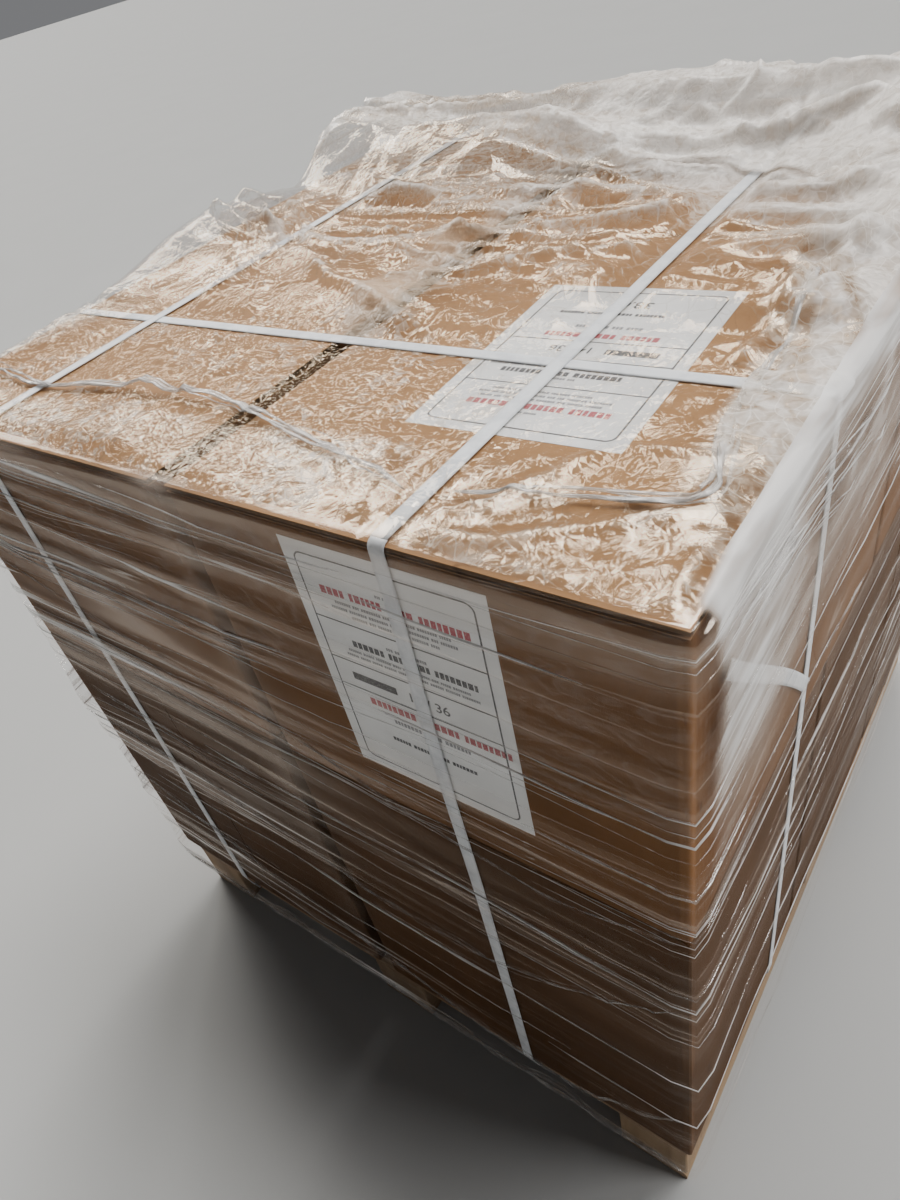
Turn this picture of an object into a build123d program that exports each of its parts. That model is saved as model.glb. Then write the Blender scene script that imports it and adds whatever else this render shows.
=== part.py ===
"""Wrapped pallet load: ten equal cartons in two layers on a nine block wooden pallet.

A clear cover film lies over the top, three flat straps bind the load to the pallet,
and stretch film goes round the sides and laps over the top, billowed at the back.
Millimetres. The origin is on the floor under the middle of the load, X runs across
the front, Y from the front to the back, +Z up.
"""
import os
from math import cos, radians, sin

from build123d import *

os.makedirs("parts", exist_ok=True)

# Cartons: the upper layer lies flat and the lower layer stands on end
carton_width = 496
carton_length = 567
carton_height = 375
carton_edge_radius = 5
carton_fold_bevel = 2
flap_gap_width = 3
flap_gap_depth = 1.5
columns = 2
upper_rows = 2
lower_rows = 3
column_gap = 28
row_slack = 11

# Corrugated top pads, one on each column of cartons
pad_thickness = 7
pad_edge_radius = 4

# Pallet boards and blocks
pallet_inset = 10
deck_board_width = 95
deck_board_count = 7
deck_board_thickness = 22
stringer_board_width = 100
stringer_board_thickness = 22
block_length = 100
block_width = 100
block_height = 78
bottom_board_width = 100
bottom_board_thickness = 22
board_arris = 2
entry_bevel = 10

# Paper labels on the right column: one on the front, one lying on the top pad
label_width = 210
label_length = 297
label_thickness = 0.3
front_label_from_right = 148
front_label_below_edge = 13
top_label_from_right = 126
top_label_from_front = 162
top_label_turn = 1.5

# Film and straps, from the cartons outwards
soft_gap = 0.3
cover_thickness = 0.8
cover_skirt = 240
strap_width = 16
strap_thickness = 0.8
strap_bend_radius = 3
right_strap_from_block = 133
left_strap_from_block = 60
cross_strap_from_stringer = 180
weld_length = 40
weld_below_top = 330
tail_length = 336
tail_rise_angle = 47
wrap_thickness = 0.8
wrap_hem_below_deck = 40
wrap_front_lap = 90
wrap_side_lap = 60
wrap_back_lap = 380
wrap_lap_radius = 40
billow_height = 80
billow_slope = 40
billow_crest_radius = 60
billow_corner_radius = 90
billow_edge_land = 12
billow_lap_land = 6

# Heights of the layers above the floor
block_bottom = bottom_board_thickness
stringer_bottom = block_bottom + block_height
deck_bottom = stringer_bottom + stringer_board_thickness
deck_top = deck_bottom + deck_board_thickness
upper_bottom = deck_top + carton_length
cartons_top = upper_bottom + carton_height
load_top = cartons_top + pad_thickness

# Plan sizes of the load and of the pallet
load_width = columns * carton_width + (columns - 1) * column_gap
load_depth = max(upper_rows * carton_length, lower_rows * carton_height) + row_slack
upper_row_pitch = (load_depth - carton_length) / (upper_rows - 1)
lower_row_pitch = (load_depth - carton_height) / (lower_rows - 1)
pallet_width = load_width - 2 * pallet_inset
pallet_depth = load_depth - 2 * pallet_inset

# How far the inner face of each skin stands off the cartons
cover_standoff = label_thickness + soft_gap
cross_strap_standoff = cover_standoff + cover_thickness + soft_gap
long_strap_standoff = cross_strap_standoff + strap_thickness + soft_gap
wrap_standoff = long_strap_standoff + 2 * strap_thickness + soft_gap


def even_places(count, pitch):
    """Places of count pieces at an even pitch, centred on zero."""
    return [(index - (count - 1) / 2) * pitch for index in range(count)]


def finish(piece, name):
    """Label a finished piece and write its STEP file."""
    piece.part.label = name
    export_step(piece.part, f"parts/{name}.step")


def make_carton(name, flap_plane):
    """A folded carton, drawn from one flap side, with the gap between the flaps on both."""
    with BuildPart() as carton:
        with BuildSketch(flap_plane):
            RectangleRounded(carton_width, carton_length, carton_edge_radius)
        extrude(amount=carton_height)
        flap_sides = carton.faces().sort_by(Axis(flap_plane.origin, flap_plane.z_dir))
        chamfer(flap_sides[0].edges() + flap_sides[-1].edges(), carton_fold_bevel)
        with BuildSketch(flap_plane):
            Rectangle(flap_gap_width, carton_length)
        extrude(amount=flap_gap_depth, mode=Mode.SUBTRACT)
        with BuildSketch(flap_plane.offset(carton_height)):
            Rectangle(flap_gap_width, carton_length)
        extrude(amount=-flap_gap_depth, mode=Mode.SUBTRACT)
    finish(carton, name)


def make_board(name, place, size_x, size_y, thickness, grain):
    """A sawn board from its underside up, with the arrises along its grain taken off."""
    with BuildPart() as board:
        with BuildSketch(Plane(origin=place)):
            Rectangle(size_x, size_y)
        extrude(amount=thickness)
        chamfer(board.edges().filter_by(grain), board_arris)
    finish(board, name)


def skin_form(standoff, low):
    """The rounded upright block that stands off the load, down to the height low."""
    with BuildPart() as form:
        with BuildSketch(Plane.XY.offset(low)):
            RectangleRounded(
                load_width + 2 * standoff,
                load_depth + 2 * standoff,
                carton_edge_radius + standoff,
            )
        extrude(amount=load_top + standoff - low)
        fillet(form.faces().sort_by(Axis.Z)[-1].edges(), pad_edge_radius + standoff)
    return form.part


def wrap_form(standoff, low):
    """The block inside one face of the stretch film, with the billow raised on its top."""
    flat = load_top + standoff
    edge_land = pad_edge_radius + billow_edge_land
    billow_width = load_width - 2 * edge_land
    billow_front = load_depth / 2 - wrap_back_lap + billow_lap_land
    billow_back = load_depth / 2 - edge_land
    with BuildPart() as form:
        add(skin_form(standoff, low))
        with BuildSketch(Plane(origin=(0, (billow_front + billow_back) / 2, flat))):
            RectangleRounded(billow_width, billow_back - billow_front, billow_corner_radius)
        extrude(amount=billow_height, taper=billow_slope)
        fillet(form.faces().sort_by(Axis.Z)[-1].edges(), billow_crest_radius)
    return form.part


def make_strap(name, plane, half_span, standoff, under, tail=0):
    """A flat strap drawn in the plane that it lies round, as wide as strap_width along the
    normal. It is tucked in under the pallet boards whose underside is at the height under.
    Its ends overlap in a weld on one upright side, and tail is the free end's length."""
    outer = half_span + standoff + strap_thickness
    top = load_top + standoff + strap_thickness
    bottom = under - soft_gap - strap_thickness
    weld_place = plane.from_local_coords((outer, load_top - weld_below_top, 0))
    weld_plane = Plane(origin=weld_place, x_dir=plane.z_dir, z_dir=plane.x_dir)
    with BuildPart() as strap:
        with BuildSketch(plane):
            with BuildLine():
                FilletPolyline(
                    (-outer, top), (outer, top), (outer, deck_top),
                    (outer - pallet_inset, bottom), (pallet_inset - outer, bottom),
                    (-outer, deck_top),
                    radius=[pad_edge_radius + standoff + strap_thickness] * 2
                    + [strap_bend_radius] * 4,
                    close=True,
                )
            make_face()
            offset(amount=-strap_thickness, mode=Mode.SUBTRACT)
        extrude(amount=strap_width / 2, both=True)
        with BuildSketch(weld_plane):
            Rectangle(strap_width, weld_length)
        extrude(amount=strap_thickness)
        if tail:
            rise = radians(tail_rise_angle)
            tail_direction = plane.z_dir * cos(rise) + plane.y_dir * sin(rise)
            with BuildSketch(Plane(origin=weld_place, x_dir=tail_direction, z_dir=plane.x_dir)):
                Rectangle(tail, strap_width, align=(Align.MIN, Align.CENTER))
            extrude(amount=strap_thickness)
    finish(strap, name)


def make_label(name, plane):
    """A paper sheet lying on the plane."""
    with BuildPart() as label:
        with BuildSketch(plane):
            Rectangle(label_width, label_length)
        extrude(amount=label_thickness)
    finish(label, name)


# Cartons
column_places = dict(zip(("left", "right"), even_places(columns, carton_width + column_gap)))
upper_places = dict(zip(("front", "back"), even_places(upper_rows, upper_row_pitch)))
lower_places = dict(zip(("front", "middle", "back"), even_places(lower_rows, lower_row_pitch)))

for column, column_x in column_places.items():
    for row, row_y in upper_places.items():
        make_carton(f"upper_carton_{column}_{row}", Plane(origin=(column_x, row_y, upper_bottom)))
    for row, row_y in lower_places.items():
        flap_plane = Plane(
            origin=(column_x, row_y - carton_height / 2, deck_top + carton_length / 2),
            x_dir=(1, 0, 0),
            z_dir=(0, 1, 0),
        )
        make_carton(f"lower_carton_{column}_{row}", flap_plane)

# Top pads
for column, column_x in column_places.items():
    with BuildPart() as pad:
        with BuildSketch(Plane(origin=(column_x, 0, cartons_top))):
            RectangleRounded(carton_width, load_depth, carton_edge_radius)
        extrude(amount=pad_thickness)
        fillet(pad.faces().sort_by(Axis.Z)[-1].edges(), pad_edge_radius)
    finish(pad, f"top_pad_{column}")

# Pallet: bottom boards along the depth, blocks, stringer boards across, deck boards on top
block_xs = dict(zip(("left", "centre", "right"), even_places(3, (pallet_width - block_length) / 2)))
block_ys = dict(zip(("front", "middle", "back"), even_places(3, (pallet_depth - block_width) / 2)))

for column, block_x in block_xs.items():
    with BuildPart() as bottom_board:
        with BuildSketch(Plane(origin=(block_x, 0, 0))):
            Rectangle(bottom_board_width, pallet_depth)
        extrude(amount=bottom_board_thickness)
        upper_arrises = bottom_board.faces().sort_by(Axis.Z)[-1].edges().filter_by(Axis.Y)
        chamfer(upper_arrises, entry_bevel)
    finish(bottom_board, f"bottom_board_{column}")
    for row, block_y in block_ys.items():
        block_place = (block_x, block_y, block_bottom)
        make_board(
            f"block_{column}_{row}", block_place, block_length, block_width, block_height, Axis.Z
        )

for row, block_y in block_ys.items():
    stringer_place = (0, block_y, stringer_bottom)
    make_board(
        f"stringer_board_{row}", stringer_place, pallet_width, stringer_board_width,
        stringer_board_thickness, Axis.X,
    )

deck_pitch = (pallet_width - deck_board_width) / (deck_board_count - 1)
for number, deck_x in enumerate(even_places(deck_board_count, deck_pitch), start=1):
    make_board(
        f"deck_board_{number}", (deck_x, 0, deck_bottom), deck_board_width, pallet_depth,
        deck_board_thickness, Axis.Y,
    )

# Labels
front_label_plane = Plane(
    origin=(
        load_width / 2 - front_label_from_right - label_width / 2,
        -load_depth / 2,
        cartons_top - front_label_below_edge - label_length / 2,
    ),
    x_dir=(1, 0, 0),
    z_dir=(0, -1, 0),
)
make_label("front_label", front_label_plane)
top_label_plane = Plane(
    origin=(
        load_width / 2 - top_label_from_right - label_width / 2,
        -load_depth / 2 + top_label_from_front + label_length / 2,
        load_top,
    )
)
make_label("top_label", top_label_plane.rotated((0, 0, top_label_turn)))

# Cover film
cover_low = load_top - cover_skirt
cover_outside = skin_form(cover_standoff + cover_thickness, cover_low)
cover_inside = skin_form(cover_standoff, cover_low - cover_thickness)
with BuildPart() as cover_film:
    add(cover_outside)
    add(cover_inside, mode=Mode.SUBTRACT)
finish(cover_film, "cover_film")

# Straps: two from front to back beside the outer blocks, over one from side to side
outer_block_inside = pallet_width / 2 - block_length
strap_xs = {
    "right": outer_block_inside - right_strap_from_block,
    "left": left_strap_from_block - outer_block_inside,
}
for side, strap_x in strap_xs.items():
    make_strap(
        f"strap_{side}",
        Plane(origin=(strap_x, 0, 0), x_dir=(0, 1, 0), z_dir=(1, 0, 0)),
        load_depth / 2,
        long_strap_standoff,
        stringer_bottom,
    )
cross_strap_y = stringer_board_width + cross_strap_from_stringer - pallet_depth / 2
make_strap(
    "strap_cross",
    Plane(origin=(0, cross_strap_y, 0), x_dir=(1, 0, 0), z_dir=(0, -1, 0)),
    load_width / 2,
    cross_strap_standoff,
    deck_bottom,
    tail=tail_length,
)

# Stretch film: open on top between its laps
wrap_low = deck_top - wrap_hem_below_deck
wrap_outside = wrap_form(wrap_standoff + wrap_thickness, wrap_low)
wrap_inside = wrap_form(wrap_standoff, wrap_low - wrap_thickness)
window_front = wrap_front_lap - load_depth / 2
window_back = load_depth / 2 - wrap_back_lap
with BuildPart() as stretch_wrap:
    add(wrap_outside)
    add(wrap_inside, mode=Mode.SUBTRACT)
    with BuildSketch(Plane(origin=(0, (window_front + window_back) / 2, load_top))):
        RectangleRounded(
            load_width - 2 * wrap_side_lap, window_back - window_front, wrap_lap_radius
        )
    extrude(amount=wrap_standoff + billow_height, mode=Mode.SUBTRACT)
finish(stretch_wrap, "stretch_wrap")
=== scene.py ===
"""Looks of the wrapped pallet load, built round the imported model. Metres, row frame."""

import bpy
import numpy as np
from mathutils import Matrix, Vector


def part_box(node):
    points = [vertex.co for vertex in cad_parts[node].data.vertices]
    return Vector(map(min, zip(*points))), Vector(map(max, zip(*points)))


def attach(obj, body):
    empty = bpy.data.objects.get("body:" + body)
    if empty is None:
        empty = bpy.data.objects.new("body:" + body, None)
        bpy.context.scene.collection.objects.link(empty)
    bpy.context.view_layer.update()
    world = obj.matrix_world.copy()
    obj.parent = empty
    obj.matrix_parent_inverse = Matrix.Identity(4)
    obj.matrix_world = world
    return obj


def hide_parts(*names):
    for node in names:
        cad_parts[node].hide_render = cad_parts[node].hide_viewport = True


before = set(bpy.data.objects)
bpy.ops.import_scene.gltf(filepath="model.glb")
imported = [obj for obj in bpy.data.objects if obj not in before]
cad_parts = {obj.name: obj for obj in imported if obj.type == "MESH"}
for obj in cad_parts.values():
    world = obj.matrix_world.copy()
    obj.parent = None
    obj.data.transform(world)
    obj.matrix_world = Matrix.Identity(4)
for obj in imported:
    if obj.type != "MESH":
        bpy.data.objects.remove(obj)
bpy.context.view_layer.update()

# Places from the frame
pad_left_low, pad_left_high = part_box("top_pad_left")
pad_right_low, pad_right_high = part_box("top_pad_right")
left, right = pad_left_low.x, pad_right_high.x
front, back = pad_left_low.y, pad_left_high.y
top = pad_left_high.z
deck_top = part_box("deck_board_1")[1].z
layer_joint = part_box("upper_carton_left_front")[0].z
cover_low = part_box("cover_film")[0].z
wrap_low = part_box("stretch_wrap")[0].z
label_low, label_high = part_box("top_label")
front_label_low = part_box("front_label")[0]
right_strap_low, right_strap_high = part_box("strap_right")
left_strap_low, left_strap_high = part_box("strap_left")
cross_strap_low, cross_strap_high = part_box("strap_cross")
strap_width = 0.016
strap_thickness = 0.0008
strap_right_x = (right_strap_low.x + right_strap_high.x) / 2
strap_left_x = (left_strap_low.x + left_strap_high.x) / 2
strap_cross_y = cross_strap_high.y - strap_width / 2

# How far the straps and the films lie above the pads, and the films' own steps
long_strap_rise = 0.0028
cross_strap_rise = 0.0017
cover_gap = 0.0009
wrap_gap = 0.0014
edge_margin = 0.001
cover_step, cover_row, cover_radius = 0.0043, 0.012, 0.0055
wrap_step, wrap_row, wrap_radius = 0.0056, 0.0115, 0.0095


# Formulas for the films
def ease(value, start, end):
    """A smooth step from 0 at start to 1 at end: 3t^2 - 2t^3."""
    t = np.clip((value - start) / (end - start), 0, 1)
    return t * t * (3 - 2 * t)


def bell(*shares):
    """exp(-(a^2 + b^2 + ...)) of the given shares: 1 where all are 0, and fading on every side."""
    return np.exp(-sum(share ** 2 for share in shares))


def smooth_noise(x, y, size, seed):
    """Values from -1 to 1: random heights on a square lattice, blended between the four
    nearest by the quintic step 6t^5 - 15t^4 + 10t^3."""
    cells = 97
    heights = np.random.default_rng(seed).random((cells, cells)) * 2 - 1
    u = np.asarray(x) / size + cells * 10.37
    v = np.asarray(y) / size + cells * 10.73
    i = np.floor(u).astype(int)
    j = np.floor(v).astype(int)
    f = u - i
    g = v - j
    f = f * f * f * (f * (f * 6 - 15) + 10)
    g = g * g * g * (g * (g * 6 - 15) + 10)
    near = heights[i % cells, j % cells] * (1 - f) + heights[(i + 1) % cells, j % cells] * f
    far = heights[i % cells, (j + 1) % cells] * (1 - f) + heights[(i + 1) % cells, (j + 1) % cells] * f
    return near * (1 - g) + far * g


def line_noise(run, size, seed):
    """Smooth noise of one variable."""
    return smooth_noise(run, run * 0, size, seed)


def creases(x, y, size, seed):
    """Sharp ridges from 0 to 1: one minus the absolute value of smooth noise, read at a place
    that coarser noise has shifted."""
    shift_x = size * 0.7 * smooth_noise(x, y, size * 1.6, seed + 1)
    shift_y = size * 0.7 * smooth_noise(x, y, size * 1.6, seed + 2)
    return 1 - np.abs(smooth_noise(x + shift_x, y + shift_y, size, seed + 3))


def facets(x, y, size, seed):
    """Crumpled flats from 0 to 1: random heights at the corners of a lattice of triangles, with
    flat faces between them, read at a place that smooth noise has shifted."""
    cells = 89
    heights = np.random.default_rng(seed).random((cells, cells))
    u = (x + size * 0.8 * smooth_noise(x, y, size * 2.1, seed + 1)) / size + cells * 10.41
    v = (y + size * 0.8 * smooth_noise(x, y, size * 2.1, seed + 2)) / size + cells * 10.77
    i = np.floor(u).astype(int)
    j = np.floor(v).astype(int)
    f = u - i
    g = v - j
    near = heights[i % cells, j % cells]
    far = heights[(i + 1) % cells, (j + 1) % cells]
    beside = np.where(f > g, heights[(i + 1) % cells, j % cells], heights[i % cells, (j + 1) % cells])
    return near * (1 - np.maximum(f, g)) + beside * np.abs(f - g) + far * np.minimum(f, g)


def edge_distance(x, y):
    """Distance in from the nearest edge of the load's top."""
    return np.minimum(np.minimum(x - left, right - x), np.minimum(y - front, back - y))


def slack(x, y):
    """1 where film on top is free, and 0 under the straps and at the edges."""
    half = strap_width / 2 + 0.001
    free = ease(edge_distance(x, y), 0.0, 0.035)
    for aside in (x - strap_right_x, x - strap_left_x, y - strap_cross_y):
        free = free * ease(np.abs(aside), half, 0.040)
    return free


def on_label(x, y):
    """1 over the top label and 0 past 20 mm from it."""
    reach = 0.02
    covered = 1
    for past in (x - label_low.x, label_high.x - x, y - label_low.y, label_high.y - y):
        covered = covered * ease(past, -reach, reach)
    return covered


def ridges(x, y):
    """The sharp ridges of the cover film's crumple, from 0 to 1."""
    return creases(x, y, 0.060, 40)


def crumple(x, y):
    """Crumpled film from 0 to 1: sharp ridges with two sizes of crumpled flats between them."""
    return 0.34 * ridges(x, y) ** 4 + 0.40 * facets(x, y, 0.031, 50) + 0.26 * facets(x, y, 0.014, 60)


def cover_depth(x, y):
    """How deep the cover film's crumple goes, in patches: most on the left, less behind the cross
    strap and on the label, and least at the front right."""
    depth = 0.0165 - 0.0080 * ease(x, -0.02, 0.16) - 0.003 * on_label(x, y)
    depth = depth * (1 - 0.88 * bell((x - 0.41) / 0.15, (y + 0.48) / 0.14))
    depth = depth * (1 - 0.50 * ease(y, strap_cross_y, strap_cross_y + 0.10))
    return depth * (0.30 + 0.80 * ease(smooth_noise(x, y, 0.13, 71), -0.45, 0.35))


def strap_fan(x, y):
    """Folds that fan out from where the right strap bends over the front edge: creases in the
    bearing from that point, deepest about 0.13 m out."""
    across = x - strap_right_x
    into = y - front
    reach = np.hypot(across, into)
    folds = creases(np.arctan2(into, across) * 0.10, reach * 0.15, 0.030, 41) ** 2
    return folds * (reach / 0.13) * np.exp(1 - reach / 0.13)


def left_fold(x, y):
    """One tall fold on the left, 1 along its crest from (-0.39, 0.07) to (-0.28, -0.23)."""
    aside = (x + 0.39) * 0.939 + (y - 0.07) * 0.344
    along = (x + 0.39) * 0.344 - (y - 0.07) * 0.939
    return bell(aside / 0.020) * ease(along, -0.07, 0.05) * ease(-along, -0.36, -0.24)


def frosted_corner(x, y):
    """1 in the back right part, past a line from (0.03, 0.27) to (0.34, 0.02), and 0 before it."""
    past = (x - 0.034) * 0.63 + (y - 0.272) * 0.776
    return ease(past + 0.03 * smooth_noise(x, y, 0.07, 43), -0.05, 0.05) * ease(x, -0.06, 0.10)


# The folds that are placed one by one: width, weight and the places along each
fold_lines = (
    (0.011, 0.8, ((0.27, -0.55), (0.32, -0.52), (0.34, -0.48), (0.37, -0.42), (0.38, -0.35))),
    (0.011, 0.8, ((0.29, -0.56), (0.33, -0.55), (0.42, -0.50), (0.48, -0.46))),
    (0.008, 1.0, ((0.28, -0.56), (0.42, -0.56))),
    (0.007, 0.9, ((0.48, -0.45), (0.49, -0.48), (0.495, -0.55))),
    (0.012, 1.0, ((0.48, -0.45), (0.49, -0.41), (0.50, -0.31))),
    (0.008, 0.6, ((0.36, -0.43), (0.39, -0.40), (0.46, -0.39))),
    (0.012, 0.9, ((0.43, -0.26), (0.44, -0.10), (0.48, 0.04))),
    (0.008, 0.6, ((0.38, -0.25), (0.44, -0.22), (0.47, -0.12))),
    (0.009, 0.6, ((-0.24, -0.05), (0.00, -0.09), (0.26, -0.14))),
    (0.008, 0.6, ((-0.03, -0.15), (0.07, -0.12), (0.26, -0.05))),
    (0.012, 0.8, ((-0.14, -0.16), (-0.03, -0.20), (0.10, -0.27))),
    (0.013, 1.0, ((-0.43, 0.01), (-0.25, -0.03), (-0.10, -0.05), (0.12, 0.02), (0.22, 0.05))),
    (0.014, 0.8, ((-0.32, 0.16), (-0.10, 0.10), (0.04, 0.09), (0.13, 0.16))),
)


def placed_folds(x, y):
    """Soft folds from 0 to 1 along the fold lines: exp(-(d / w)^2) of the distance d to each line,
    read at a place that smooth noise has shifted a little."""
    shifted_x = x + 0.007 * smooth_noise(x, y, 0.035, 61)
    shifted_y = y + 0.007 * smooth_noise(x, y, 0.035, 62)
    crest = np.zeros_like(x)
    for width, weight, places in fold_lines:
        for (x0, y0), (x1, y1) in zip(places[:-1], places[1:]):
            step_x, step_y = x1 - x0, y1 - y0
            along = ((shifted_x - x0) * step_x + (shifted_y - y0) * step_y) / (step_x ** 2 + step_y ** 2)
            along = np.clip(along, 0, 1)
            aside = np.hypot(shifted_x - x0 - along * step_x, shifted_y - y0 - along * step_y)
            crest = np.maximum(crest, weight * bell(aside / width))
    return crest


def long_folds(x, y):
    """Long folds from side to side, a little aslant, from 0 to 1."""
    return creases(x / 5 + y * 0.12, y, 0.054, 31) ** 2.4


def cover_folds(x, y):
    """Long folds behind the cross strap, a tall one on the left, pulls on the right, the fan at
    the right strap and the placed folds."""
    middle_band = ease(y, strap_cross_y, strap_cross_y + 0.13) * ease(-y, -0.42, -0.12)
    pulls = creases(x / 3 - y * 0.5, y + x * 0.35, 0.052, 37) ** 3
    folded = 0.020 * middle_band * long_folds(x, y) + 0.020 * left_fold(x, y)
    pulled = 0.008 * ease(x, -0.05, 0.1) * ease(y, strap_cross_y - 0.02, strap_cross_y + 0.05) * pulls
    placed = (0.007 + 0.008 * ease(y, strap_cross_y, strap_cross_y + 0.10)) * placed_folds(x, y)
    return folded + (pulled + placed) * (1 - 0.75 * on_label(x, y)) + 0.003 * strap_fan(x, y)


def cover_rise(x, y):
    """Height of the cover film above the pads: crumple and folds, pressed flat under the straps
    and drawn down at the edges, sagging and rippled over the column gap."""
    sag = 0.0045 * bell(x / 0.0055) * ease(edge_distance(x, y), 0.0, 0.02)
    ripple = 0.004 * bell(x / 0.020) * creases(x * 0.4, y, 0.022, 35) ** 2 * slack(x, y)
    return cover_gap + slack(x, y) * (cover_depth(x, y) * crumple(x, y) + cover_folds(x, y)) + ripple - sag


def strap_rise(x, y):
    """Height of the straps' upper faces above the pads, and 0 away from them."""
    half = strap_width / 2 + 0.004
    near_long = np.minimum(np.abs(x - strap_right_x), np.abs(x - strap_left_x))
    near = np.minimum(near_long, np.abs(y - strap_cross_y))
    return (long_strap_rise + strap_thickness + 0.0006) * ease(-near, -half - 0.006, -half)


def back_lap_front(x):
    """Where the back lap of the stretch film starts, as y."""
    return 0.175 + 0.05 * np.sin(7.5 * x + 0.4) - 0.10 * ease(x, 0.30, 0.46) + 0.02 * line_noise(x, 0.09, 81)


def wrap_presence(x, y):
    """1 where stretch film lies on top and 0 in the open window, with a soft edge."""
    front_lap = 0.098 + 0.022 * np.sin(6.0 * x) + 0.010 * line_noise(x, 0.11, 82)
    left_lap = 0.05 + 0.15 * bell((y + 0.12) / 0.20) + 0.012 * smooth_noise(0 * y, y, 0.08, 83)
    right_lap = 0.085 + 0.03 * np.sin(5.0 * y + 1.0) + 0.012 * smooth_noise(0 * y, y, 0.09, 84)
    inside = np.minimum(y - front - front_lap, back_lap_front(x) - y)
    inside = np.minimum(inside, np.minimum(x - left - left_lap, right - right_lap - x))
    return 1 - ease(inside, -0.008, 0.004)


def swells(x, y):
    """The big folds of the film over the back, from 0 to 1."""
    return creases(x / 3.0 + y * 0.25, y - 0.12 * x, 0.100, 95)


def wrap_rise(x, y):
    """Height of the stretch film above the pads: it lies on the cover film and the straps at
    the laps, billows over the back, and bulges over the left edge."""
    cover_top = cover_gap + slack(x, y) * (0.72 * cover_depth(x, y) + cover_folds(x, y))
    resting = np.maximum(cover_top, strap_rise(x, y)) + wrap_gap
    billow = ease(y - back_lap_front(x), -0.01, 0.15) * (1 - 0.66 * ease(y, 0.44, back))
    billow_height = 0.050 + 0.014 * smooth_noise(x, y, 0.21, 91) - 0.014 * ease(x, 0.30, 0.5)
    small_folds = creases(x / 2.6 - y * 0.3, y + 0.15 * x, 0.036, 99) ** 2.5
    billow = billow * (billow_height * 0.62 + 0.044 * swells(x, y) ** 1.6 + 0.005 * small_folds)
    left_bulge = 0.046 * bell((y + 0.03) / 0.17) * bell((x - left) / 0.10)
    left_bulge = left_bulge * (0.88 + 0.16 * smooth_noise(x + y * 0.4, y / 1.6, 0.060, 103))
    back_left = 0.030 * bell((x - left) / 0.07, (y - back) / 0.12)
    right_puff = 0.012 * bell((x - right) / 0.05) * ease(y, -0.45, -0.1)
    lap_folds = 0.0030 * creases(x, y, 0.050, 107) ** 2 * ease(edge_distance(x, y), 0.0, 0.03)
    return resting + billow + left_bulge + back_left + right_puff + lap_folds


def wrap_standoff(s, z):
    """How far the side film stands off: slack between the straps, with folds drawn round the
    load, a little aslant, and more room round the lower layer."""
    room = 0.0052 + 0.0060 * ease(-z, -layer_joint - 0.02, -layer_joint + 0.12)
    folds = 0.0048 * creases(s / 13, z + 0.045 * s, 0.052, 151) ** 3
    fine_folds = 0.0018 * creases(s / 9, z - 0.03 * s, 0.027, 153) ** 2
    return room + folds + fine_folds + 0.0020 * (1 + smooth_noise(s, z, 0.19, 155))


def cover_frost(x, y):
    """How milky the cover film is: along its sharpest ridges, along the fan and the placed folds,
    over the column gap behind the cross strap, over the back and in the back right part."""
    ridge = ease(ridges(x, y), 0.86, 1.0) * 0.30 * (0.5 + 0.5 * smooth_noise(x, y, 0.05, 167))
    behind = ease(y, strap_cross_y - 0.008, strap_cross_y + 0.016)
    crossing = long_folds(x, y)
    over_gap = bell(x / 0.045) * behind * (0.66 + 0.34 * crossing)
    over_back = ease(y, strap_cross_y + 0.04, 0.02) * (0.14 + 0.26 * crossing + 0.30 * ease(y, 0.02, 0.24))
    from_bend = np.hypot(x - strap_right_x, y - front)
    fan = 0.30 * ease(strap_fan(x, y), 0.45, 0.95) * ease(-from_bend, -0.20, -0.06)
    placed = placed_folds(x, y) * (0.80 + 0.20 * smooth_noise(x, y, 0.020, 173))
    placed = placed * (0.48 - 0.34 * on_label(x, y))
    milk = np.maximum(over_gap, over_back) + ridge + fan + placed
    return np.clip(milk + 0.30 * left_fold(x, y) + 0.50 * frosted_corner(x, y), 0, 1)


def wrap_frost(x, y):
    """How milky the folded film is on top: the back billow, the laps, their crests and a fan of
    folds along the right edge."""
    cloud = 0.5 + 0.5 * smooth_noise(x, y, 0.08, 161)
    crest = swells(x, y) ** 2
    over_back = 0.28 + 0.42 * ease(x, -0.20, 0.10) + 0.26 * cloud + 0.50 * crest * cloud
    over_back = over_back * ease(y, 0.14, 0.32)
    right_folds = creases(x + y * 0.4, y / 5, 0.030, 169) ** 2
    right_side = ease(x, right - 0.15, right - 0.02) * (0.25 + 0.65 * right_folds) * ease(y, -0.52, -0.30)
    corner = 0.85 * frosted_corner(x, y) * (0.6 + 0.4 * cloud)
    edge = bell(edge_distance(x, y) / 0.040)
    return np.clip(0.05 + over_back + corner + 0.25 * edge * cloud + right_side, 0, 1)


def wrap_side_frost(s, z):
    """How milky the side film is: just under the top edge, on the upper right side and over the
    front's column gap."""
    cloud = 0.6 + 0.4 * smooth_noise(s / 3, z * 2.5, 0.06, 163)
    right_start = right - left
    on_right = ease(s, right_start - 0.010, right_start)
    corner = bell((s - right_start - 0.06) / 0.12, (z - top + 0.10) / 0.15)
    corner = corner * ease(s, right_start - 0.012, right_start + 0.006)
    sweep = creases(s / 4 + z * 0.3, z - s * 0.35, 0.040, 189) ** 2
    right_side = ease(s, right_start, right_start + 0.02) * ease(-s, -right_start - 1.2, -right_start - 1.1)
    right_side = right_side * bell((z - top) / 0.22) * (0.3 + 0.7 * sweep)
    under_edge = bell((z - top) / 0.040) * (0.16 + 0.45 * on_right)
    column_gap = bell((s + left) / 0.030)
    return np.clip(cloud * (under_edge + 0.80 * corner + 0.16 * column_gap) + 0.68 * right_side, 0, 1)


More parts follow.
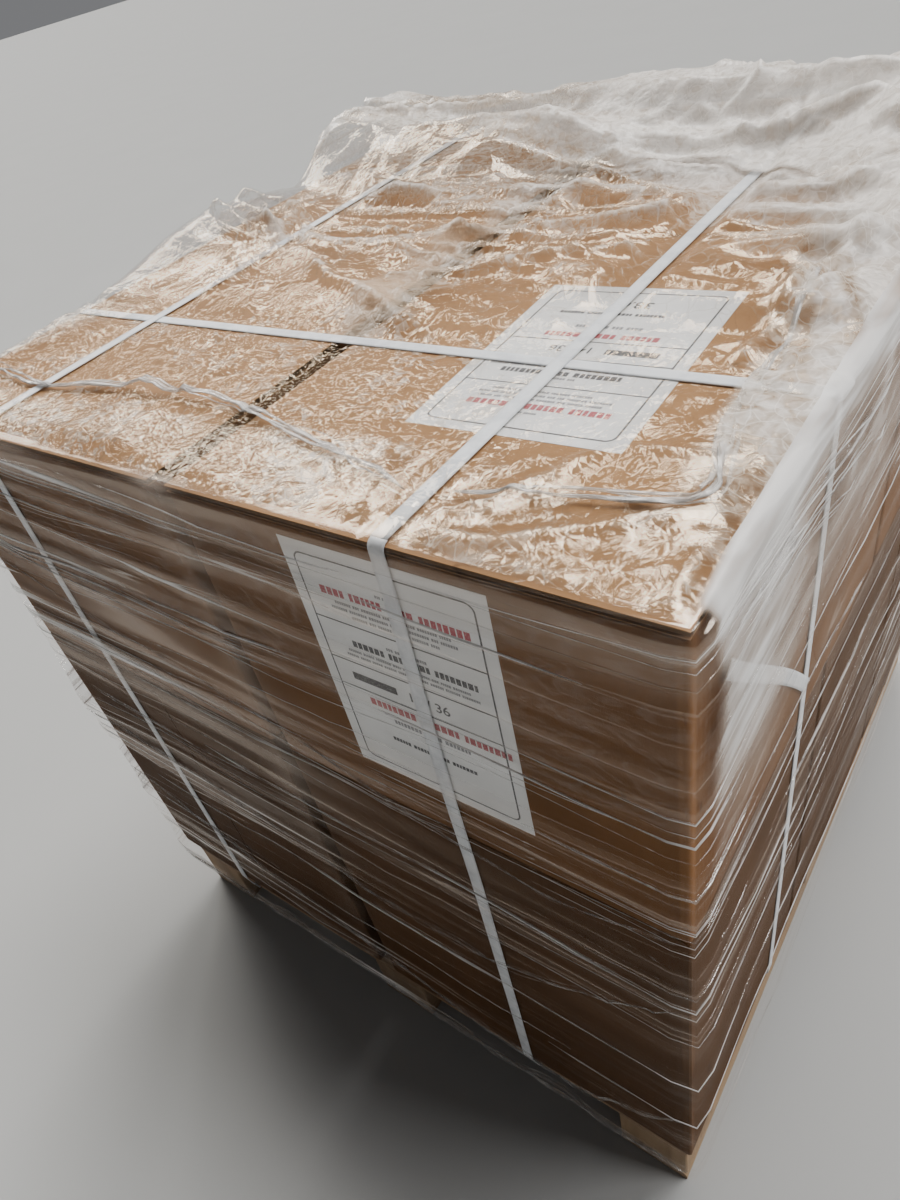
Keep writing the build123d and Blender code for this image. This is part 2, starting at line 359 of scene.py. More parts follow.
# Mesh helpers
def mesh_piece(name, points, faces, materials, face_slots=None, corner_uv=None, values=None, smooth=True):
    """A mesh of quads from arrays, with a UV for each face corner and named values at points."""
    mesh = bpy.data.meshes.new(name)
    mesh.vertices.add(len(points))
    mesh.vertices.foreach_set("co", np.asarray(points, np.float32).ravel())
    mesh.loops.add(faces.size)
    mesh.loops.foreach_set("vertex_index", faces.ravel().astype(np.int32))
    mesh.polygons.add(len(faces))
    mesh.polygons.foreach_set("loop_start", np.arange(0, faces.size, 4, dtype=np.int32))
    mesh.polygons.foreach_set("use_smooth", np.full(len(faces), smooth))
    for material in materials:
        mesh.materials.append(material)
    if face_slots is not None:
        mesh.polygons.foreach_set("material_index", face_slots.astype(np.int32))
    mesh.update(calc_edges=True)
    if corner_uv is not None:
        layer = mesh.uv_layers.new(name="UVMap")
        layer.data.foreach_set("uv", np.asarray(corner_uv, np.float32).ravel())
    for key, numbers in (values or {}).items():
        attribute = mesh.attributes.new(key, "FLOAT", "POINT")
        attribute.data.foreach_set("value", np.asarray(numbers, np.float32).ravel())
    piece = bpy.data.objects.new(name, mesh)
    bpy.context.scene.collection.objects.link(piece)
    return piece


def joined(parts):
    """Faces and points of several parts as one: each part's faces count on from the points before."""
    starts = np.cumsum([0] + [len(points) for points, _ in parts[:-1]])
    faces = np.concatenate([faces + start for start, (_, faces) in zip(starts, parts)])
    return np.concatenate([points for points, _ in parts]), faces


def tube_faces(rows, columns):
    """Quads of a closed tube: its rings each have an even number of points that turn to the right
    round the path, and a strip of quads closes each end."""
    i, j = np.meshgrid(np.arange(rows - 1) * columns, np.arange(columns), indexing="ij")
    after = (j + 1) % columns
    walls = np.stack([i + j, i + columns + j, i + columns + after, i + after], axis=2)
    k = np.arange(columns // 2 - 1)
    cap = np.stack([k, k + 1, columns - 2 - k, columns - 1 - k], axis=1)
    return np.concatenate([walls.reshape(-1, 4), cap, cap[:, ::-1] + (rows - 1) * columns])


def unit(vectors):
    """Rows of vectors, each brought to length 1."""
    return vectors / np.linalg.norm(vectors, axis=1)[:, None]


def path_run(path):
    """The distance along a path at each of its points."""
    return np.concatenate([[0], np.cumsum(np.linalg.norm(np.diff(path, axis=0), axis=1))])


def rim(step, radius):
    """The edge of a film's top grid, walked round from the front left corner: the grid's x and y
    values, then the place, the outward direction and the distance so far at each point."""
    inset = radius - edge_margin
    xs = np.linspace(left + inset, right - inset, int((right - left - 2 * inset) / step) + 1)
    ys = np.linspace(front + inset, back - inset, int((back - front - 2 * inset) / step) + 1)
    n, m = len(xs) - 1, len(ys) - 1
    place = np.concatenate([
        np.column_stack([xs[:-1], np.full(n, ys[0])]), np.column_stack([np.full(m, xs[-1]), ys[:-1]]),
        np.column_stack([xs[:0:-1], np.full(n, ys[-1])]), np.column_stack([np.full(m, xs[0]), ys[:0:-1]]),
    ])
    outward = np.repeat([[0.0, -1.0], [1.0, 0.0], [0.0, 1.0], [-1.0, 0.0]], [n, m, n, m], axis=0)
    outward[[0, n, n + m, 2 * n + m]] = np.array([[-1, -1], [1, -1], [1, 1], [-1, 1]]) * 0.80
    around = path_run(np.concatenate([place, place[:1]]))
    return xs, ys, place, outward, around


def draped_skin(
    name, step, row_step, radius, rise, drop_low, standoff, materials, frost, side_frost, presence=None,
):
    """A film over the load, in one sheet: a grid on top at the height rise(x, y), a quarter
    round of the given radius at each edge, and sides that hang to drop_low(s) and stand off
    the load by standoff(s, z), where s runs round the load. frost(x, y) and side_frost(s, z)
    give how milky it is, and the faces on top are left out where presence(x, y) is 0."""
    xs, ys, place, outward, around = rim(step, radius)
    around, total = around[:-1], around[-1]
    x, y = np.meshgrid(xs, ys)
    ids = np.arange(x.size).reshape(x.shape)
    top_points = np.stack([x.ravel(), y.ravel(), (top + rise(x, y)).ravel()], axis=1)
    top_faces = np.stack([ids[:-1, :-1], ids[:-1, 1:], ids[1:, 1:], ids[1:, :-1]], axis=2).reshape(-1, 4)
    if presence is not None:
        seen = presence(x, y).ravel()
        top_faces = top_faces[seen[top_faces].max(axis=1) > 0]
    loop = np.concatenate([ids[0, :-1], ids[:-1, -1], ids[-1, :0:-1], ids[:0:-1, 0]])
    edge_z = top_points[loop, 2]

    side_rows = []
    heights = [edge_z]

    def add_row(reach, ring_z):
        side_rows.append(np.column_stack([place + outward * reach[:, None], ring_z]))
        heights.append(ring_z)

    for angle in np.linspace(0, np.pi / 2, 5)[1:]:
        ring_z = edge_z - radius * (1 - np.cos(angle))
        add_row((radius - edge_margin + standoff(around, ring_z)) * np.sin(angle), ring_z)
    hang_z = edge_z - radius
    low_z = drop_low(around)
    drops = int((top - low_z.min()) / row_step)
    for share in np.linspace(0, 1, drops + 1)[1:]:
        ring_z = hang_z + (low_z - hang_z) * share
        add_row(radius - edge_margin + standoff(around, ring_z), ring_z)

    count = len(loop)
    ring_ids = [loop] + [x.size + k * count + np.arange(count) for k in range(len(side_rows))]
    after = np.roll(np.arange(count), -1)
    side_faces = np.concatenate([
        np.stack([lower, lower[after], upper[after], upper], axis=1)
        for upper, lower in zip(ring_ids[:-1], ring_ids[1:])
    ])
    next_around = np.append(around[1:], total)
    side_uv = np.concatenate([
        np.stack([
            np.column_stack([around, low]), np.column_stack([next_around, low[after]]),
            np.column_stack([next_around, high[after]]), np.column_stack([around, high]),
        ], axis=1)
        for high, low in zip(heights[:-1], heights[1:])
    ]).reshape(-1, 2)

    points = np.concatenate([top_points] + side_rows)
    faces = np.concatenate([top_faces, side_faces])
    corner_uv = np.concatenate([top_points[top_faces.ravel(), :2], side_uv])
    slots = np.repeat([0, 1], [len(top_faces), len(side_faces)])
    side_milk = [side_frost(around, ring_z) for ring_z in heights[1:]]
    values = {"frost": np.concatenate([frost(x, y).ravel()] + side_milk)}
    if presence is not None:
        values["presence"] = np.append(seen, np.ones(len(points) - x.size))
        values["presence"][loop] = 1
    return mesh_piece(name, points, faces, materials, slots, corner_uv, values)


# Shader helpers
class Value:
    """One output socket, with sums written as expressions that add Math nodes."""

    def __init__(self, finish, socket):
        self.finish = finish
        self.socket = socket

    def maths(self, operation, *inputs):
        return self.finish.node("ShaderNodeMath", {"operation": operation}, dict(enumerate((self, *inputs))))

    def __add__(self, other):
        return self.maths("ADD", other)

    def __sub__(self, other):
        return self.maths("SUBTRACT", other)

    def __rsub__(self, other):
        return self.maths("MULTIPLY_ADD", -1.0, other)

    def __mul__(self, other):
        return self.maths("MULTIPLY", other)

    __radd__ = __add__
    __rmul__ = __mul__


class Finish:
    """A material under construction. node() adds any node: its type, its settings, then its sockets."""

    def __init__(self, name):
        self.material = bpy.data.materials.new(name)
        self.material.use_nodes = True
        self.tree = self.material.node_tree
        self.tree.nodes.clear()

    def node(self, kind, settings=None, inputs=None, output=0):
        made = self.tree.nodes.new(kind)
        for key, setting in (settings or {}).items():
            setattr(made, key, setting)
        for key, value in (inputs or {}).items():
            socket = made.inputs[key]
            if isinstance(value, Value):
                self.tree.links.new(value.socket, socket)
            else:
                socket.default_value = value
        return Value(self, made.outputs[output])

    def mapped(self, vector, scale=(1, 1, 1), shift=(0, 0, 0), turn=(0, 0, 0)):
        """vector through a Mapping node."""
        return self.node("ShaderNodeMapping", {}, {
            "Vector": vector, "Scale": scale, "Location": shift, "Rotation": turn,
        })

    def place(self, kind="Object", scale=(1, 1, 1), turn=(0, 0, 0)):
        """Object or UV coordinates through a Mapping node."""
        return self.mapped(self.node("ShaderNodeTexCoord", output=kind), scale, turn=turn)

    def noise(self, vector, scale, detail=4.0, roughness=0.55, distortion=0.0):
        return self.node("ShaderNodeTexNoise", {}, {
            "Vector": vector, "Scale": scale, "Detail": detail, "Roughness": roughness,
            "Distortion": distortion,
        })

    def flats(self, vector, scale):
        """The distance to the nearest edge of small flats."""
        return self.node("ShaderNodeTexVoronoi", {"feature": "DISTANCE_TO_EDGE"}, {
            "Vector": vector, "Scale": scale,
        })

    def span(self, value, low, high, to_low=0.0, to_high=1.0):
        """value taken from low to high and put between to_low and to_high, smoothly."""
        return self.node("ShaderNodeMapRange", {"interpolation_type": "SMOOTHSTEP"}, {
            "Value": value, "From Min": low, "From Max": high, "To Min": to_low, "To Max": to_high,
        })

    def mix(self, share, first, second):
        """A colour between first and second."""
        first = (*first, 1) if isinstance(first, tuple) else first
        second = (*second, 1) if isinstance(second, tuple) else second
        return self.node("ShaderNodeMix", {"data_type": "RGBA"}, {0: share, 6: first, 7: second}, output=2)

    def axis(self, vector, name):
        return self.node("ShaderNodeSeparateXYZ", {}, {"Vector": vector}, output=name)

    def attribute(self, name):
        return self.node("ShaderNodeAttribute", {"attribute_name": name}, output="Fac")

    def bump(self, height, distance, strength=1.0):
        return self.node("ShaderNodeBump", {}, {"Height": height, "Distance": distance, "Strength": strength})

    def close(self, **inputs):
        """Puts the Principled shader and the output on, and gives the material."""
        named = {key.replace("_", " "): value for key, value in inputs.items()}
        shader = self.node("ShaderNodeBsdfPrincipled", {}, named)
        finished = self.tree.nodes.new("ShaderNodeOutputMaterial")
        self.tree.links.new(shader.socket, finished.inputs["Surface"])
        return self.material


def tinted(shade, *shares):
    """A colour with its red, green and blue each times a share."""
    return tuple(part * share for part, share in zip(shade, shares))


def kraft(name, light, dark, across_x):
    """Brown corrugated board: faint flute lines, fibres, blotches and scuffs. The flutes count
    across Y, and across X too where across_x is 1."""
    flute_turns = 785.0
    f = Finish(name)
    spot = f.place()
    flutes = ((f.axis(spot, "X") * across_x + f.axis(spot, "Y")) * flute_turns).maths("SINE")
    blotch = f.noise(spot, 5.0, 3.0)
    fibre = f.noise(f.place(scale=(1, 1, 0.25)), 420.0, 5.0, 0.7)
    speck = f.span(f.noise(spot, 260.0, 2.0), 0.66, 0.74)
    scuff = f.span(f.noise(f.place(scale=(1, 1, 3.0), turn=(0.4, 0.5, 0)), 22.0, 6.0, 0.75), 0.62, 0.72)
    rub = f.span(f.noise(f.place(scale=(1, 1, 0.4), turn=(0.5, 0.6, 0)), 34.0, 2.0), 0.70, 0.76)
    at_corner = f.span(f.axis(spot, "X").maths("ABSOLUTE"), right - 0.011, right - 0.007)
    at_corner = at_corner * f.span(f.axis(spot, "Y").maths("ABSOLUTE"), back - 0.012, back - 0.008)
    colour = f.mix(f.span(blotch, 0.3, 0.7), dark, light)
    for share, shade in (
        (fibre * 0.35, tinted(light, 1.15, 1.15, 1.2)), (speck * 0.35, tinted(dark, 0.45, 0.42, 0.4)),
        (scuff * 0.22, tinted(light, 1.25, 1.3, 1.45)), (rub * 0.55, tinted(dark, 0.35, 0.32, 0.3)),
        (at_corner * f.span(blotch, 0.35, 0.6) * 0.6, tinted(light, 1.5, 1.55, 1.7)),
    ):
        colour = f.mix(share, colour, shade)
    return f.close(
        Base_Color=colour,
        Roughness=f.span(fibre, 0.2, 0.8, 0.62, 0.82),
        Specular_IOR_Level=0.12,
        Normal=f.bump(flutes * 0.04 + fibre * 0.30 + blotch * 0.6, 0.0006),
    )


def timber(name, grain):
    """Sawn pallet wood with its grain along the given axis."""
    along = {"X": (0.35, 9, 9), "Y": (9, 0.35, 9), "Z": (9, 9, 0.35)}[grain]
    f = Finish(name)
    rings = f.noise(f.place(scale=along), 2.4, 5.0, 0.6, 0.6)
    fibre = f.noise(f.place(scale=tuple(part * 6 for part in along)), 6.0, 4.0, 0.7)
    stain = f.noise(f.place(), 6.0, 3.0)
    colour = f.mix(f.span(rings, 0.35, 0.65), (0.22, 0.125, 0.060), (0.37, 0.235, 0.125))
    colour = f.mix(fibre * 0.4, colour, (0.47, 0.33, 0.19))
    colour = f.mix(f.span(stain, 0.5, 0.75) * 0.45, colour, (0.20, 0.15, 0.11))
    return f.close(
        Base_Color=colour,
        Roughness=f.span(fibre, 0.2, 0.8, 0.68, 0.88),
        Normal=f.bump(rings * 0.6 + fibre * 0.5, 0.0012),
    )


def plain_paper():
    """Matt white paper with a faint mottle."""
    f = Finish("label_paper_white")
    grain = f.noise(f.place(), 300.0, 4.0, 0.7)
    cloud = f.noise(f.place(), 14.0, 3.0)
    return f.close(
        Base_Color=f.mix(f.span(cloud, 0.3, 0.7), (0.78, 0.78, 0.77), (0.86, 0.86, 0.85)),
        Roughness=f.span(grain, 0.3, 0.7, 0.55, 0.7),
        Normal=f.bump(grain, 0.0001),
    )


def ink(name, shade):
    """Printing ink, worn thin in specks."""
    f = Finish(name)
    wear = f.noise(f.place(), 900.0, 3.0, 0.7)
    colour = f.mix(f.span(wear, 0.45, 0.8) * 0.6, shade, (0.75, 0.74, 0.73))
    return f.close(Base_Color=colour, Roughness=f.span(wear, 0.3, 0.7, 0.45, 0.6))


def strap_plastic():
    """White extruded strap with a rolled grid of shallow dimples and grey rubs."""
    f = Finish("strap_white")
    spot = f.place("UV")
    dimples = (f.axis(spot, "X") * 4200.0).maths("SINE") * (f.axis(spot, "Y") * 3600.0).maths("SINE")
    rub = f.noise(f.place(), 45.0, 5.0, 0.65)
    return f.close(
        Base_Color=f.mix(f.span(rub, 0.4, 0.7), (0.80, 0.82, 0.84), (0.64, 0.66, 0.69)),
        Roughness=f.span(rub, 0.3, 0.7, 0.38, 0.55),
        Normal=f.bump(dimples, 0.00012, 0.6),
    )


def nail_steel():
    """Grey steel with rust in patches."""
    f = Finish("nail_steel")
    rust = f.noise(f.place(), 700.0, 3.0, 0.6)
    return f.close(
        Base_Color=f.mix(f.span(rust, 0.4, 0.7), (0.42, 0.41, 0.40), (0.28, 0.17, 0.10)),
        Metallic=f.span(rust, 0.4, 0.7, 1.0, 0.4),
        Roughness=f.span(rust, 0.3, 0.7, 0.35, 0.7),
    )


# The film's styles: each gives its wrinkle, its milk, its height and the shade of its milk
milk_white = (0.95, 0.925, 0.90)
milk_cream = (0.95, 0.89, 0.82)
# The brown milk is a painted warm reflection of the board's light, used in the folds over the column gap.
milk_painted_board_light = (0.66, 0.45, 0.27)


def crumpled(f, kind):
    """Two sizes of small flats, with painted glints: in patches, some flats and their edges are made bright
    and milky where light would catch the crumple. The milk turns brown over the column gap, a painted warm
    reflection of the board, and the crumple is lower on the right and behind the cross strap."""
    spot = f.place(kind)
    across, into = f.axis(spot, "X"), f.axis(spot, "Y")
    wrinkle = f.noise(spot, 70.0, 2.0, 0.6, 0.8)
    drift = f.node("ShaderNodeTexNoise", {}, {"Vector": spot, "Scale": 26.0, "Detail": 1.0}, output="Color")
    warped = f.node("ShaderNodeMix", {"data_type": "VECTOR"}, {0: 0.022, 4: spot, 5: drift}, output=1)
    flats = f.flats(warped, 52.0)
    small_flats = f.flats(warped, 118.0)
    each_flat = f.node("ShaderNodeTexVoronoi", {}, {"Vector": warped, "Scale": 118.0}, output="Color")
    # Painted glints: where light would catch the crumple, a share of the small flats and their edges turn
    # bright and milky, in patches.
    painted_glint_patches = f.span(f.noise(spot, 11.0, 2.0), 0.42, 0.56) * f.span(across, 0.20, 0.30, 1.0, 0.30)
    painted_glint_patches = painted_glint_patches * f.span(into, strap_cross_y - 0.02, strap_cross_y + 0.10, 1.0, 0.45)
    painted_glints = f.span(each_flat, 0.60, 0.63, 0.0, 0.34) + f.span(small_flats, 0.0, 0.05, 0.22, 0.0)
    milk = f.span(flats, 0.0, 0.04, 0.20, 0.0) + f.span(wrinkle, 0.55, 0.75) * 0.06 + painted_glint_patches * painted_glints
    # Over the column gap the milk is painted brown: a painted reflection of the board's warm light.
    over_gap = f.span(across.maths("ABSOLUTE"), 0.025, 0.065, 0.80, 0.0) * f.span(into, 0.0, 0.14, 1.0, 0.0)
    height = flats + wrinkle * 0.16 + small_flats * 0.70
    height = height * f.span(into, strap_cross_y - 0.02, strap_cross_y + 0.08, 1.0, 0.45)
    height = height * f.span(across, 0.02, 0.26, 1.0, 0.32)
    return wrinkle, milk, height, f.mix(over_gap, milk_cream, milk_painted_board_light)


def soft(f, kind):
    """Long soft wrinkles with thin milky ridges."""
    wrinkle = f.noise(f.place(kind, scale=(0.38, 1, 1), turn=(0, 0, 0.2)), 40.0, 2.0, 0.5, 0.7)
    ridge = f.span((wrinkle - 0.5).maths("ABSOLUTE"), 0.0, 0.10, 1.0, 0.0)
    return wrinkle, ridge * ridge * 0.16, ridge * 0.30 + wrinkle, milk_white


def drawn(f, kind):
    """Streaks drawn round the load, a little aslant, in three sets: each has its scale along and up, its
    slant, the width and weight of its threads and the weight of the painted glow round them. The streaks are
    partly milky stretch lines and partly painted highlights, standing for light caught by the film's folds.
    The milk is strongest at the front left and from the right side on."""
    run_round = f.axis(f.place(kind), "X")
    wrinkle = f.noise(f.place(kind, scale=(0.16, 1, 1), turn=(0, 0, 0.12)), 60.0, 2.0, 0.6, 0.4)
    lines = 0.0
    for along, up, slant, width, weight, painted_glow in (
        (0.50, 13, 0.030, 0.045, 0.16, 0.10),
        (0.45, 25, 0.016, 0.018, 0.80, 0.22),
        (1.10, 56, -0.030, 0.024, 0.42, 0.0),
    ):
        slanted = f.place(kind, turn=(0, 0, slant))
        stretched = f.mapped(slanted, (along, up, 1), (along, up, 0))
        away = (f.noise(stretched, 1.0, 1.0, 0.3) - 0.5).maths("ABSOLUTE")
        thread = f.span(away, 0.0, width, weight, 0.0)
        if painted_glow:
            thread = thread + f.span(away, 0.0, 0.15, painted_glow, 0.0)
        patch = f.mapped(slanted, (along * 1.3, up * 0.40, 1), (along * 7, up, 0))
        lines = lines + thread * f.span(f.noise(patch, 1.0, 0.0), 0.44, 0.62)
    # The streaks' whiteness is partly painted highlight: it is strongest at the front left and from the right
    # side on.
    milk = lines * (f.span(run_round, 0.10, 0.80, 1.65, 0.34) + f.span(run_round, 1.20, 2.30, 0.0, 1.0))
    return wrinkle, milk, milk, milk_white


def film(
    name, clear_alpha, frost_alpha, kind, style, relief=0.0036, thin=None, haze=0.0,
    frosted=False, edged=False,
):
    """Clear plastic film of the given style. Where it is smooth it is nearly all see-through with
    bright gloss, and its folds are milky. Thin milk takes the shade thin, as board shows through."""
    f = Finish(name)
    wrinkle, milk, height, milky = style(f, kind)
    if frosted:
        milk = milk + f.attribute("frost") * f.span(wrinkle, 0.25, 0.75, 0.55, 1.0)
    milk = f.node("ShaderNodeClamp", {}, {"Value": milk + haze})
    alpha = milk * (frost_alpha - clear_alpha) + clear_alpha
    if edged:
        alpha = alpha * f.attribute("presence")
    return f.close(
        Base_Color=f.mix(f.span(milk, 0.30, 0.80), thin, milky) if thin else (*milky, 1),
        Alpha=alpha,
        Metallic=f.span(milk, 0.20, 0.50, 0.95, 0.0),
        Roughness=f.span(milk, 0.0, 0.8, 0.13, 0.36),
        IOR=1.5,
        Normal=f.bump(height, relief),
    )


# The carton board is darker than the pad board, partly its own brown and partly painted shade of the shaded
# side faces. The lower cartons' copy is darker again: painted shade of the lower layer.
upper_kraft_with_painted_shade = kraft("carton_kraft_upper_painted_shade", (0.178, 0.079, 0.026), (0.126, 0.054, 0.017), 1)
lower_kraft_painted_shade = kraft("carton_kraft_lower_painted_shade", (0.096, 0.043, 0.015), (0.067, 0.030, 0.010), 1)
pad_board = kraft("pad_kraft", (0.390, 0.210, 0.091), (0.320, 0.168, 0.070), 0)
flute_board = kraft("flute_kraft", (0.24, 0.14, 0.070), (0.15, 0.085, 0.042), 1)
paper = plain_paper()
red_ink = ink("ink_red", (0.42, 0.03, 0.05))
black_ink = ink("ink_black", (0.03, 0.03, 0.035))
grey_ink = ink("ink_grey", (0.22, 0.22, 0.23))
strap_white = strap_plastic()
steel_grey = nail_steel()
woods = {grain: timber(f"pallet_wood_{grain.lower()}", grain) for grain in "XYZ"}
cover_top_film = film(
    "cover_film_top", 0.048, 0.74, "Object", crumpled, 0.0044, (0.82, 0.64, 0.45), 0.02, frosted=True,
)
cover_side_film = film("cover_film_side", 0.012, 0.26, "Object", soft)
wrap_top_film = film(
    "wrap_film_top", 0.022, 0.92, "Object", crumpled, 0.0020, (0.84, 0.70, 0.54), frosted=True, edged=True,
)
wrap_side_film = film("wrap_film_side", 0.014, 0.92, "UV", drawn, 0.0016, (0.86, 0.72, 0.60), frosted=True)
rope_film = film("rope_film", 0.06, 0.88, "UV", soft, haze=0.40)
front_rope_film = film("rope_film_front", 0.03, 0.80, "UV", soft, haze=0.22)
thread_film = film("thread_film", 0.0, 0.92, "UV", soft, frosted=True)

# CAD nodes that stay
kept_finishes = {
    "upper_carton": upper_kraft_with_painted_shade, "lower_carton": lower_kraft_painted_shade, "front_label": paper, "top_label": paper,
    "deck_board": woods["Y"], "bottom_board": woods["Y"], "stringer_board": woods["X"], "block": woods["Z"],
}
for name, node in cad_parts.items():
    for start, material in kept_finishes.items():
        if name.startswith(start):
            node.data.materials.clear()
            node.data.materials.append(material)


# Top pads
def make_pad(side, low, high):
    """Corrugated board: two liners and a medium that follows a sine wave between them, its
    flutes along X. Each sheet is a closed strip of outline points carried from end to end."""
    liner = 0.0006
    pitch = 0.0079
    ys = np.linspace(low.y, high.y, int((high.y - low.y) / pitch) * 8 + 1)
    swing = (high.z - low.z) / 2 - liner * 1.5
    wave = (low.z + high.z) / 2 + swing * np.sin(2 * np.pi * (ys - low.y) / pitch)

    def strip(lower, along):
        under, over = np.column_stack([along, lower]), np.column_stack([along, lower + liner])
        section = np.concatenate([under, over[::-1]])
        count = len(section)
        near = np.arange(count)
        after = np.roll(near, -1)
        walls = np.stack([near, after, after + count, near + count], axis=1)
        span = np.arange(len(along) - 1)
        far = count - 1 - span
        cap = np.stack([span, span + 1, far - 1, far], axis=1)
        points = np.concatenate([np.column_stack([np.full(count, x), section]) for x in (low.x, high.x)])
        return points, np.concatenate([walls, cap[:, ::-1], cap + count])

    ends = np.array([low.y, high.y])
    liners = [strip(np.full(2, z), ends) for z in (low.z, high.z - liner)]
    parts = liners + [strip(wave - liner / 2, ys)]
    points, faces = joined(parts)
    slots = np.repeat([0, 0, 1], [len(part_faces) for _, part_faces in parts])
    piece = mesh_piece(f"fluted_pad_{side}", points, faces, [pad_board, flute_board], slots, smooth=False)
    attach(piece, "root")
    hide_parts(f"top_pad_{side}")


make_pad("left", pad_left_low, pad_left_high)
make_pad("right", pad_right_low, pad_right_high)


# Straps
def make_ribbon(name, path, across, sway, stands_for=None):
    """A flat strap: a thin rectangle carried along a closed or open path. across is the
    direction of its width, and sway moves it sideways by small smooth waves."""
    run = path_run(path)
    outward = unit(np.cross(across, unit(np.gradient(path, axis=0))))
    centre = path + across * (sway * line_noise(run, 0.22, 131))[:, None]
    widths = strap_width / 2 * np.array([-1, -0.5, 0, 0.5, 1])
    lower = [centre + across * w for w in widths]
    upper = [centre + across * w + outward * strap_thickness for w in widths[::-1]]
    section = np.stack(lower + upper, axis=1)
    rows, columns = section.shape[:2]
    faces = tube_faces(rows, columns)
    uv_points = np.column_stack([np.tile(np.append(widths, widths[::-1]), rows), np.repeat(run, columns)])
    piece = mesh_piece(name, section.reshape(-1, 3), faces, [strap_white], corner_uv=uv_points[faces.ravel()])
    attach(piece, "root")
    if stands_for:
        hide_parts(stands_for)


def strap_loop(half_span, rise, low, edge_radius):
    """Outline of a strap round the load as (across, height): flat on top, a quarter round at
    each upper edge, straight down the sides and straight back under the pallet."""
    out = half_span + rise
    high = top + rise
    turn_x, turn_z = out - edge_radius, high - edge_radius
    arc = np.linspace(0, np.pi / 2, 7)[1:]
    over = [(s, high) for s in np.linspace(-turn_x, turn_x, 120)]
    right_turn = [(turn_x + edge_radius * np.sin(a), turn_z + edge_radius * np.cos(a)) for a in arc]
    down = [(out, z) for z in np.linspace(turn_z, deck_top, 90)[1:]]
    under = [(s, low) for s in np.linspace(out - 0.010, 0.010 - out, 40)]
    up = [(-out, z) for z in np.linspace(deck_top, turn_z, 90)]
    left_turn = [(-turn_x - edge_radius * np.cos(a), turn_z + edge_radius * np.sin(a)) for a in arc]
    return np.array(over + right_turn + down + under + up + left_turn)


for side, strap_x in (("right", strap_right_x), ("left", strap_left_x)):
    loop = strap_loop((back - front) / 2, long_strap_rise, right_strap_low.z, 0.0075)
    path = np.column_stack([np.full(len(loop), strap_x), loop])
    make_ribbon(f"white_strap_{side}", path, np.array([-1.0, 0, 0]), 0.0015, f"strap_{side}")
loop = strap_loop((right - left) / 2, cross_strap_rise, cross_strap_low.z, 0.0065)
path = np.column_stack([loop[:, 0], np.full(len(loop), strap_cross_y), loop[:, 1]])
make_ribbon("white_strap_cross", path, np.array([0, 1.0, 0]), 0.0015, "strap_cross")

tail_low = layer_joint + 0.052
tail_rise = 0.246
tail_front = cross_strap_low.y + 0.006
tail_share = np.linspace(0, 1, 60)
tail_path = np.column_stack([
    right + 0.0034 + 0.0016 * np.sin(7 * tail_share) * tail_share,
    strap_cross_y + (tail_front - strap_cross_y) * tail_share + 0.004 * np.sin(5 * tail_share),
    tail_low + tail_rise * tail_share,
])
tail_ahead = np.gradient(tail_path, axis=0).mean(axis=0)
make_ribbon("white_strap_loose_end", tail_path, unit(np.cross([[1, 0, 0]], tail_ahead))[0], 0.001)

# Label print: the labels' size, the frame's inset and how far the ink lies out from the paper
label_wide, label_tall = 0.210, 0.297
frame_inset = 0.022
ink_rise = 0.00012


def laid(flat, origin, right_way, up_way, out_way):
    """Places on a label, from its lower left corner as it is read, laid on its paper."""
    return origin + flat[:, :1] * right_way + flat[:, 1:] * up_way + out_way * ink_rise


def label_print(name, seed, origin, *ways):
    """Generic print in quads: a rounded frame, dividers and rows of word-like bars, each word a
    run of short blocks. Each row has its height on the label, its bars' height, ink and width."""
    red, black, grey = 0, 1, 2
    shapes = []

    def bar(u, v, wide, high, shade):
        shapes.append((np.array([[u, v], [u + wide, v], [u + wide, v + high], [u, v + high]]), shade))

    draw = np.random.default_rng(seed)
    for v, high, shade, row_width in (
        (0.257, 0.0030, grey, 0.018), (0.243, 0.0090, red, 0.146), (0.2345, 0.0034, grey, 0.120),
        (0.2275, 0.0034, grey, 0.132), (0.2205, 0.0034, grey, 0.090), (0.1945, 0.0036, grey, 0.030),
        (0.1835, 0.0078, black, 0.112), (0.1755, 0.0032, grey, 0.128), (0.1690, 0.0032, grey, 0.136),
        (0.1060, 0.0092, red, 0.118), (0.0890, 0.0056, grey, 0.070), (0.0600, 0.0052, black, 0.090),
    ):
        u = label_wide / 2 - row_width / 2
        while u < label_wide / 2 + row_width / 2:
            for _ in range(draw.integers(3, 9)):
                wide = high * draw.uniform(0.42, 0.72)
                bar(u, v, wide, high, shade)
                u += wide + high * 0.16
            u += high * 0.55
    bar(0.034, 0.1355, 0.052, 0.0098, black)
    for v in (0.2105, 0.1590, 0.1225):
        bar(0.014, v, 0.182, 0.0016, black)
    far_u, far_v = label_wide - frame_inset, label_tall - frame_inset
    corners = ((far_u, far_v), (frame_inset, far_v), (frame_inset, frame_inset), (far_u, frame_inset))
    centres = np.repeat(corners, 7, axis=0)
    angle = (np.repeat(np.arange(4), 7) + np.tile(np.linspace(0, 1, 7), 4)) * np.pi / 2
    outward = np.column_stack([np.cos(angle), np.sin(angle)])
    inner, outer = centres + outward * 0.0078, centres + outward * 0.0096
    for k in range(len(angle)):
        after = (k + 1) % len(angle)
        shapes.append((np.array([inner[k], outer[k], outer[after], inner[after]]), black))
    points = laid(np.concatenate([shape for shape, _ in shapes]), origin, *ways)
    faces = np.arange(len(points)).reshape(-1, 4)
    inks = np.array([shade for _, shade in shapes])
    piece = mesh_piece(name, points, faces, [red_ink, black_ink, grey_ink], inks, smooth=False)
    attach(piece, "root")


